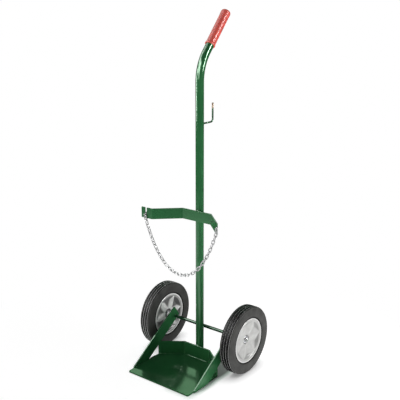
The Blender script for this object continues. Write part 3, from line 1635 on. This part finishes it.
@dataclass
class Studio:
    """White floor and surroundings, soft lamps and the camera.

    A ramp holds two levels and the two places between which the first turns into the second: in
    metres on the floor, and as shares of a unit vector in the surroundings. Distances without a
    start are from the middle of the trolley.

    Args:
        eye: place of the camera, in metres.
        yaw: bearing of the camera, anticlockwise from the Y axis, in degrees.
        pitch: angle by which the camera looks down, in degrees.
        lens: focal length, in millimetres.
        sight: farthest distance that the camera shows, in metres.
        floor_half: half of the floor's width, in metres.
        floor_drop: depth of the floor under the wheels, in metres.
        paper: brightness of the floor's own white.
        ambient: level of the surroundings on matt surfaces.
        backdrop: ramp of what gloss sees of the surroundings, along the camera's heading.
        skirting: ramp of the same by height.
        gloss_tint: colour of the surroundings in gloss.
        bounce: level of the light that the floor throws up.
        shelter: share of that light under the trolley.
        lit: level that the lamps give the floor, which its own light makes up to white.
        fade: ramp of the share of its own light in what the camera sees of it, by distance.
        contact: ramp of the dark line where a piece meets the floor, by openness.
        contact_reach: reach of that line, in metres.
        contact_samples: rays that look for a piece within that reach.
        near: ramp by distance past which gloss doesn't show the floor.
        behind: ramp of the floor in gloss, along the camera's heading.
        ahead: ramp of a brighter floor before the trolley, along the camera's heading.
        ahead_across: ramp of that brighter floor, along the camera's right.
        ahead_near: ramp of that brighter floor, by distance.
        left: ramp of the floor to the left in gloss, along the camera's right.
        beside: ramp of the floor in gloss, along X.
        right: ramp by which the floor to the right dims in gloss, along X.
        half_gap: ramp of half the width of the dim ground under the trolley, along Y.
        gap_edge: ramp at the sides of that ground.
        gap_y: Y of the middle of that ground.
        gap_end: ramp at its ends.
        lee: X and Y of the middle of the green shadow at the right side of the toe plate.
        lee_side: ramp of that shadow, by distance along X.
        lee_end: ramp of that shadow, by distance along Y.
        lee_tint: colour of that shadow.
    """

    eye: tuple[float, float, float] = (1.50093, -1.81311, 1.31781)
    yaw: float = 37.59
    pitch: float = 15.63
    lens: float = 63.54
    sight: float = 200.0
    floor_half: float = 60.0
    floor_drop: float = 0.0005
    paper: float = 0.9
    ambient: float = 0.12
    backdrop: Ramp = (DIM, 1.9, 0.62, 0.85)
    skirting: Ramp = (0.0, 1.0, 0.15, 0.4)
    gloss_tint: Colour = PALE_GREEN
    bounce: float = 1.8
    shelter: float = 0.4
    lit: float = 0.25
    fade: Ramp = (0.45, 1.0, 0.4, 1.0)
    contact: Ramp = (0.25, 1.0, 0.3, 0.85)
    contact_reach: float = 0.06
    contact_samples: int = 16
    near: Ramp = (1.0, 0.0, 1.4, 2.4)
    behind: Ramp = (DIM, 0.3, -0.3, 0.0)
    ahead: Ramp = (2.0, 0.0, -0.35, -0.15)
    ahead_across: Ramp = (1.0, 0.0, 0.2, 0.45)
    ahead_near: Ramp = (1.0, 0.0, 0.8, 1.0)
    left: Ramp = (1.3, 0.0, -0.75, -0.55)
    beside: Ramp = (DIM, 0.9, 0.12, 0.17)
    right: Ramp = (1.0, 0.3, 0.45, 0.6)
    half_gap: Ramp = (0.125, 0.19, 0.0, 0.06)
    gap_edge: Ramp = (DIM, 1.0, 0.0, 0.05)
    gap_y: float = 0.15
    gap_end: Ramp = (DIM, 1.0, 0.25, 0.4)
    lee: tuple[float, float] = (0.1, 0.06)
    lee_side: Ramp = (0.95, 0.0, 0.045, 0.07)
    lee_end: Ramp = (1.0, 0.0, 0.1, 0.2)
    lee_tint: Colour = (0.7, 1.0, 0.82)

    def heading(self) -> Array:
        """Level direction in which the camera looks."""
        yaw = math.radians(self.yaw)
        return np.array([-math.sin(yaw), math.cos(yaw), 0.0])

    def build_camera(self) -> None:
        """Stands the camera at the picture's viewpoint."""
        data = bpy.data.cameras.new("view_camera")
        data.lens = self.lens
        data.clip_end = self.sight
        camera = bpy.data.objects.new("view_camera", data)
        camera.location = self.eye
        camera.rotation_euler = (math.radians(90 - self.pitch), 0.0, math.radians(self.yaw))
        bpy.context.scene.collection.objects.link(camera)
        bpy.context.scene.camera = camera

    def clear_ground(self, bench: Bench) -> Socket:
        """Level of the open floor.

        Args:
            bench: node bench of the floor.

        Returns:
            The level, dim under the trolley and full outside of it.
        """
        half_gap = bench.ranged(bench.coordinate("Y"), *self.half_gap)
        outside = bench.joined("SUBTRACT", bench.off("X"), half_gap)
        ends = bench.ranged(bench.off("Y", self.gap_y), *self.gap_end)
        return bench.joined("MAXIMUM", bench.ranged(outside, *self.gap_edge), ends)

    def gloss_level(self, bench: Bench, reach: Socket, clear: Socket) -> Socket:
        """Level at which gloss shows the floor.

        The brightest of four zones counts: behind the trolley, beside it, before it and to its left.
        It falls off far out, at the right and under the trolley.

        Args:
            bench: node bench of the floor.
            reach: distance from the trolley.
            clear: level of the open floor.

        Returns:
            The level.
        """
        heading = self.heading()
        depth, across = bench.along(heading), bench.along(np.cross(heading, Z_AXIS))
        side = bench.coordinate("X")
        ahead = bench.joined("MULTIPLY", bench.ranged(depth, *self.ahead),
                             bench.ranged(across, *self.ahead_across), bench.ranged(reach, *self.ahead_near))
        bright = bench.joined("MAXIMUM", bench.ranged(depth, *self.behind), bench.ranged(side, *self.beside),
                              ahead, bench.ranged(across, *self.left))
        return bench.joined("MULTIPLY", bench.ranged(reach, *self.near), bright,
                            bench.ranged(side, *self.right), clear)

    def floor_material(self) -> bpy.types.Material:
        """Builds the white of the floor.

        To the camera it keeps faint shadows near the trolley and fades to white farther out, with a
        dark line of contact and a green shadow beside the toe plate. It throws light back up at matt
        surfaces, less under the trolley, and gloss shows it in zones round the trolley only.

        Returns:
            The material.
        """
        bench = Bench(bpy.data.materials.new("white_floor"))
        rays = bench.node("ShaderNodeLightPath", {}).outputs
        reach = bench.node("ShaderNodeVectorMath", {0: bench.place}, operation="LENGTH").outputs["Value"]
        clear = self.clear_ground(bench)
        lee = bench.joined("MULTIPLY", bench.ranged(bench.off("X", self.lee[0]), *self.lee_side),
                           bench.ranged(bench.off("Y", self.lee[1]), *self.lee_end))
        lee_left = bench.joined("SUBTRACT", 1.0, lee)
        thrown = bench.ranged(clear, self.shelter * self.bounce, self.bounce)
        unseen = bench.pick(rays["Is Glossy Ray"], bench.joined("MULTIPLY", thrown, lee_left),
                            self.gloss_level(bench, reach, clear))
        fade = bench.ranged(reach, *self.fade)
        even = bench.chain(bench.joined("DIVIDE", 1.0 - self.lit, fade), ("ADD", self.lit))
        openness = bench.node("ShaderNodeAmbientOcclusion", {"Distance": self.contact_reach},
                              samples=self.contact_samples)
        contact = bench.ranged(openness.outputs["AO"], *self.contact)
        seen = bench.joined("MULTIPLY", even, contact, lee_left)
        level = bench.pick(rays["Is Camera Ray"], unseen, seen)
        tone = bench.mixed(lee, WHITE, self.lee_tint)
        glow = bench.node("ShaderNodeEmission", {"Color": tone, "Strength": level}).outputs[0]
        matt = bench.node("ShaderNodeBsdfDiffuse", {"Color": (*shaded(WHITE, self.paper), 1.0)}).outputs[0]
        share = bench.pick(rays["Is Camera Ray"], 1.0, fade)
        mix = bench.node("ShaderNodeMixShader", {0: share, 1: matt, 2: glow}).outputs[0]
        bench.wire(bench.tree.nodes["Material Output"].inputs["Surface"], mix)
        bench.tree.nodes.remove(bench.shader)
        return bench.owner

    def build_floor(self) -> None:
        """Lays the floor, one square just under the wheels."""
        half, z = self.floor_half, -self.floor_drop
        corners = [(-half, -half, z), (half, -half, z), (half, half, z), (-half, half, z)]
        mesh = bpy.data.meshes.new("floor")
        mesh.from_pydata(corners, [], [(0, 1, 2, 3)])
        mesh.materials.append(self.floor_material())
        floor = bpy.data.objects.new("floor", mesh)
        bpy.context.scene.collection.objects.link(floor)

    def build_world(self) -> None:
        """Surrounds the scene.

        It is white to the camera, an even faint light to matt surfaces, and to gloss a dim room with
        a pale green backdrop high behind the trolley.
        """
        world = bpy.data.worlds.new("studio")
        bpy.context.scene.world = world
        bench = Bench(world, "Background", "Generated")
        rays = bench.node("ShaderNodeLightPath", {}).outputs
        room = bench.joined("MULTIPLY", bench.ranged(bench.along(self.heading()), *self.backdrop),
                            bench.ranged(bench.coordinate("Z"), *self.skirting))
        unseen = bench.pick(rays["Is Glossy Ray"], self.ambient, room)
        seen = bench.joined("MAXIMUM", rays["Is Camera Ray"], rays["Is Transmission Ray"])
        bench.feed("Color", bench.mixed(rays["Is Glossy Ray"], WHITE, self.gloss_tint))
        bench.feed("Strength", bench.pick(seen, unseen, 1.0))

    def build(self) -> None:
        """Builds the camera, the floor, the surroundings and the lamps."""
        bpy.context.scene.view_settings.view_transform = "Standard"
        self.build_camera()
        self.build_floor()
        self.build_world()
        for lamp in LAMPS:
            lamp.build(self.heading())


def main() -> None:
    """Builds the studio and the trolley's sub-assemblies in order."""
    logging.basicConfig(level=logging.INFO, format="%(name)s: %(message)s")
    Studio().build()
    mast, axle = Mast(), Axle()
    mast.build()
    Cradle().build(mast)
    Base().build(mast, axle)
    axle.build(mast)
    for side in Side:
        Wheel(side).build(axle)
    Chain().build()


if __name__ == "__main__":
    main()
